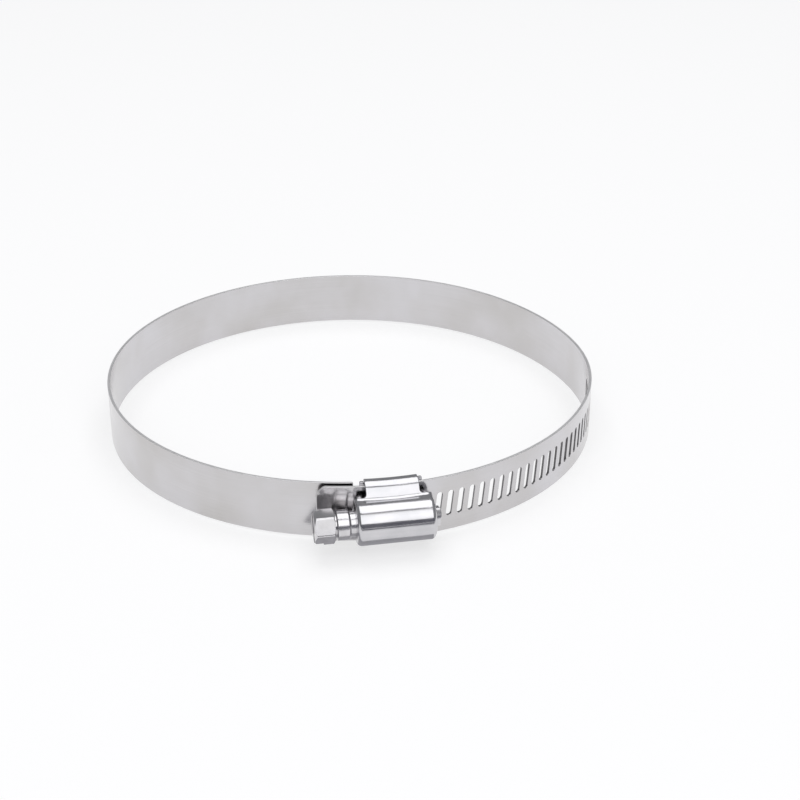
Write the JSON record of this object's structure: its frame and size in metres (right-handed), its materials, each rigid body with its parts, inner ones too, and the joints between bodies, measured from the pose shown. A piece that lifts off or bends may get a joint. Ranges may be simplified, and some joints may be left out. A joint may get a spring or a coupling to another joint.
{
  "type": "hose clamp",
  "caption": "Worm-drive hose clamp: a slotted stainless band runs through a housing, and a hex-head worm screw draws it tight round a hose.",
  "frame": {"origin": "centre of the ring, on the hose's axis, at half the band's width", "axes": "+Z along the hose's axis, the housing at -Y, the screw's head towards -X and its tip towards +X"},
  "size_m": [0.1114, 0.1197, 0.0148],
  "materials": {
    "band_steel": "fine brushed stainless strip",
    "housing_steel": "bright drawn stainless sheet",
    "screw_steel": "bright cold-headed stainless"
  },
  "bodies": {
    "housing": {"housing": "housing_steel", "saddle": "housing_steel"},
    "screw": {"screw": "screw_steel"},
    "slotted_end": {"band_slotted_end": "band_steel"},
    "stretch_1": {"band_stretch_1": "band_steel"},
    "stretch_2": {"band_stretch_2": "band_steel"},
    "stretch_3": {"band_stretch_3": "band_steel"},
    "stretch_4": {"band_stretch_4": "band_steel"},
    "stretch_5": {"band_stretch_5": "band_steel"},
    "stretch_6": {"band_stretch_6": "band_steel"},
    "stretch_7": {"band_stretch_7": "band_steel"},
    "stretch_8": {"band_stretch_8": "band_steel"},
    "fixed_end": {"band_fixed_end": "band_steel"}
  },
  "joints": [
    {"name": "screw_turn", "type": "hinge", "parent": "housing", "child": "screw", "pos_m": [0, -0.06, 0], "axis": [1, 0, 0], "range_deg": [-720, 7920]},
    {"name": "band_feed", "type": "hinge", "parent": "housing", "child": "slotted_end", "pos_m": [0, 0, 0], "axis": [0, 0, -1], "range_deg": [-5.07, 55.77]},
    {"name": "band_flex_1", "type": "hinge", "parent": "slotted_end", "child": "stretch_1", "pos_m": [0.05208, -0.02191, 0], "axis": [0, 0, 1], "range_deg": [-0.69, 7.44]},
    {"name": "band_flex_2", "type": "hinge", "parent": "stretch_1", "child": "stretch_2", "pos_m": [0.05561, 0.00381, 0], "axis": [0, 0, 1], "range_deg": [-0.56, 5.93]},
    {"name": "band_flex_3", "type": "hinge", "parent": "stretch_2", "child": "stretch_3", "pos_m": [0.04366, 0.03312, 0], "axis": [0, 0, 1], "range_deg": [-0.52, 5.49]},
    {"name": "band_flex_4", "type": "hinge", "parent": "stretch_3", "child": "stretch_4", "pos_m": [0.01873, 0.0515, 0], "axis": [0, 0, 1], "range_deg": [-0.54, 5.71]},
    {"name": "band_flex_5", "type": "hinge", "parent": "stretch_4", "child": "stretch_5", "pos_m": [-0.01218, 0.05343, 0], "axis": [0, 0, 1], "range_deg": [-0.55, 5.88]},
    {"name": "band_flex_6", "type": "hinge", "parent": "stretch_5", "child": "stretch_6", "pos_m": [-0.0392, 0.03829, 0], "axis": [0, 0, 1], "range_deg": [-0.55, 5.82]},
    {"name": "band_flex_7", "type": "hinge", "parent": "stretch_6", "child": "stretch_7", "pos_m": [-0.0537, 0.01092, 0], "axis": [0, 0, 1], "range_deg": [-0.55, 5.82]},
    {"name": "band_flex_8", "type": "hinge", "parent": "stretch_7", "child": "stretch_8", "pos_m": [-0.05104, -0.01994, 0], "axis": [0, 0, 1], "range_deg": [-0.59, 6.32]},
    {"name": "band_flex_9", "type": "hinge", "parent": "stretch_8", "child": "fixed_end", "pos_m": [-0.03208, -0.04443, 0], "axis": [0, 0, 1], "range_deg": [-0.7, 7.55]}
  ],
  "couplings": [
    {"joint": "screw_turn", "follows": "band_feed", "ratio": 142},
    {"joint": "band_flex_1", "follows": "band_feed", "ratio": 0.133},
    {"joint": "band_flex_2", "follows": "band_feed", "ratio": 0.106},
    {"joint": "band_flex_3", "follows": "band_feed", "ratio": 0.098},
    {"joint": "band_flex_4", "follows": "band_feed", "ratio": 0.102},
    {"joint": "band_flex_5", "follows": "band_feed", "ratio": 0.105},
    {"joint": "band_flex_6", "follows": "band_feed", "ratio": 0.104},
    {"joint": "band_flex_7", "follows": "band_feed", "ratio": 0.104},
    {"joint": "band_flex_8", "follows": "band_feed", "ratio": 0.113},
    {"joint": "band_flex_9", "follows": "band_feed", "ratio": 0.135}
  ]
}
